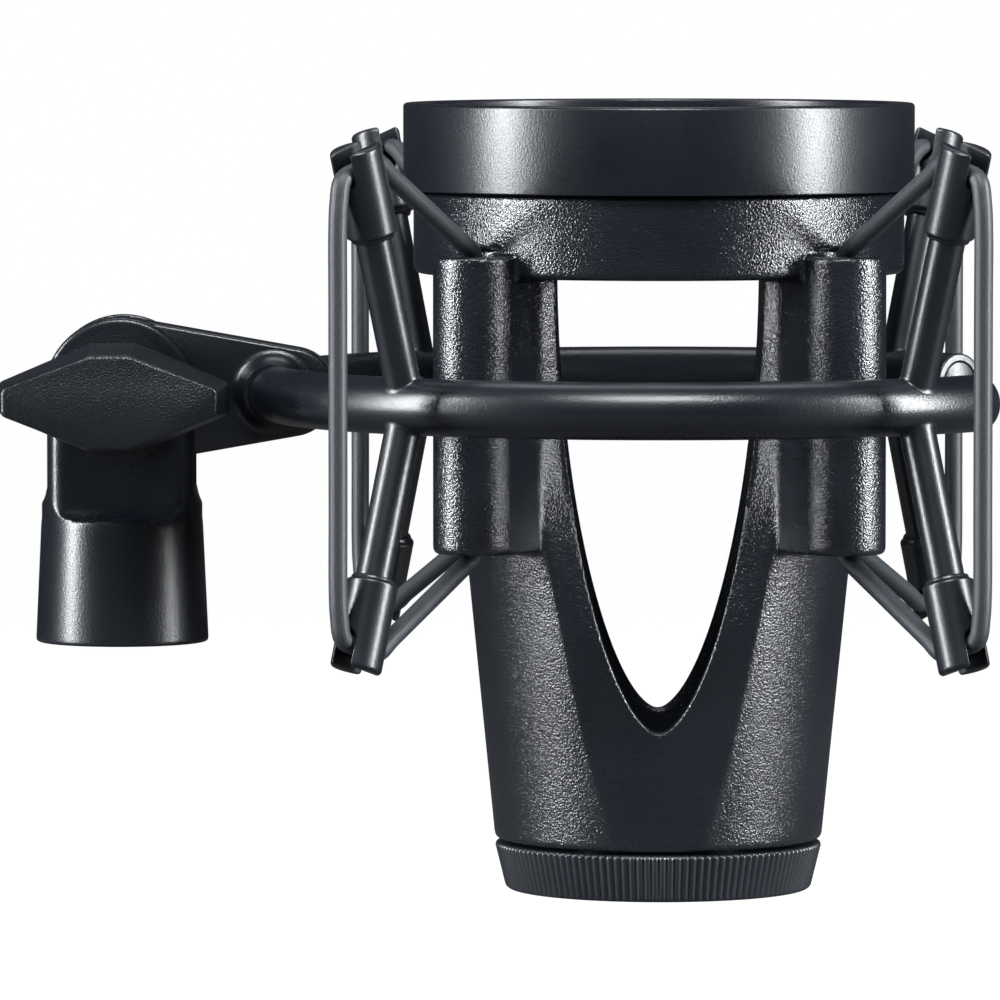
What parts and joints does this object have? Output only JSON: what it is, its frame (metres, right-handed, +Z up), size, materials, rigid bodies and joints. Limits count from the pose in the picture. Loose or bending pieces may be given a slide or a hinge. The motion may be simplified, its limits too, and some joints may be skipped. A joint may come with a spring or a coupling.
{
  "type": "microphone shock mount",
  "caption": "Elastic suspension mount: open tube hoop with forked posts and elastic loops carrying a windowed microphone cradle, on a tilting arm with a wing-knob clamp and a stand adapter.",
  "frame": {"origin": "centre of the stand adapter's lower mouth, where the stand's thread enters", "axes": "+Z up along the adapter's thread axis, +X from the stand towards the cradle, -Y towards the side with the wing knob"},
  "size_m": [0.1445, 0.121, 0.1155],
  "materials": {
    "satin_black_metal": "fine-grained satin black coating",
    "gloss_black_plastic": "smooth semi-gloss black moulding",
    "textured_black_plastic": "coarse pebble-grained black moulding",
    "elastic_cord": "matte blue-grey elastic with fine lengthwise ribs",
    "brass": "turned brass",
    "zinc_steel": "zinc-plated steel",
    "fibre_washer": "dark pressed fibre"
  },
  "bodies": {
    "stand": {"stand_adapter": "satin_black_metal", "thread_insert": "brass", "pivot_nut": "zinc_steel"},
    "clamp_washer": {"clamp_washer": "zinc_steel"},
    "knob": {"wing_knob": "textured_black_plastic", "pivot_bolt": "zinc_steel"},
    "hoop_frame": {"arm": "satin_black_metal", "friction_washer_front": "fibre_washer", "friction_washer_rear": "fibre_washer", "hoop": "satin_black_metal", "hoop_plug_front": "gloss_black_plastic", "hoop_plug_rear": "gloss_black_plastic", "post_upper_front_left": "gloss_black_plastic", "post_lower_front_left": "gloss_black_plastic", "post_upper_front_right": "gloss_black_plastic", "post_lower_front_right": "gloss_black_plastic", "post_upper_rear_left": "gloss_black_plastic", "post_lower_rear_left": "gloss_black_plastic", "post_upper_rear_right": "gloss_black_plastic", "post_lower_rear_right": "gloss_black_plastic", "fork_cap_upper_front_left": "gloss_black_plastic", "fork_cap_lower_front_left": "gloss_black_plastic", "fork_cap_upper_front_right": "gloss_black_plastic", "fork_cap_lower_front_right": "gloss_black_plastic", "fork_cap_upper_rear_left": "gloss_black_plastic", "fork_cap_lower_rear_left": "gloss_black_plastic", "fork_cap_upper_rear_right": "gloss_black_plastic", "fork_cap_lower_rear_right": "gloss_black_plastic", "elastic_loop_front_left": "elastic_cord", "elastic_loop_front_right": "elastic_cord", "elastic_loop_rear_left": "elastic_cord", "elastic_loop_rear_right": "elastic_cord"},
    "cradle": {"cradle_body": "textured_black_plastic", "rim_ring": "satin_black_metal"},
    "ring_nut": {"ring_nut": "textured_black_plastic", "retaining_clip": "zinc_steel"}
  },
  "joints": [
    {"name": "arm_tilt", "type": "hinge", "parent": "stand", "child": "hoop_frame", "pos_m": [0, 0, 0.0368], "axis": [0, -1, 0], "range_deg": [-20, 90]},
    {"name": "clamp_travel", "type": "slide", "parent": "stand", "child": "clamp_washer", "axis": [0, -1, 0], "range_m": [0, 0.0015]},
    {"name": "knob_turn", "type": "hinge", "parent": "clamp_washer", "child": "knob", "pos_m": [0, -0.02, 0.0368], "axis": [0, -1, 0], "range_deg": [0, 540]},
    {"name": "cradle_bounce", "type": "slide", "parent": "hoop_frame", "child": "cradle", "axis": [0, 0, 1], "range_m": [-0.004, 0.004], "stiffness_N_per_m": 2500, "springref_m": 0.0005, "deforming": ["elastic_loop_front_left", "elastic_loop_front_right", "elastic_loop_rear_left", "elastic_loop_rear_right"]},
    {"name": "ring_nut_turn", "type": "hinge", "parent": "cradle", "child": "ring_nut", "pos_m": [0.0789, 0, -0.033], "axis": [0, 0, 1], "continuous": true}
  ],
  "couplings": [
    {"joint": "knob_turn", "follows": "clamp_travel", "rad_per_m": 6283.1}
  ]
}
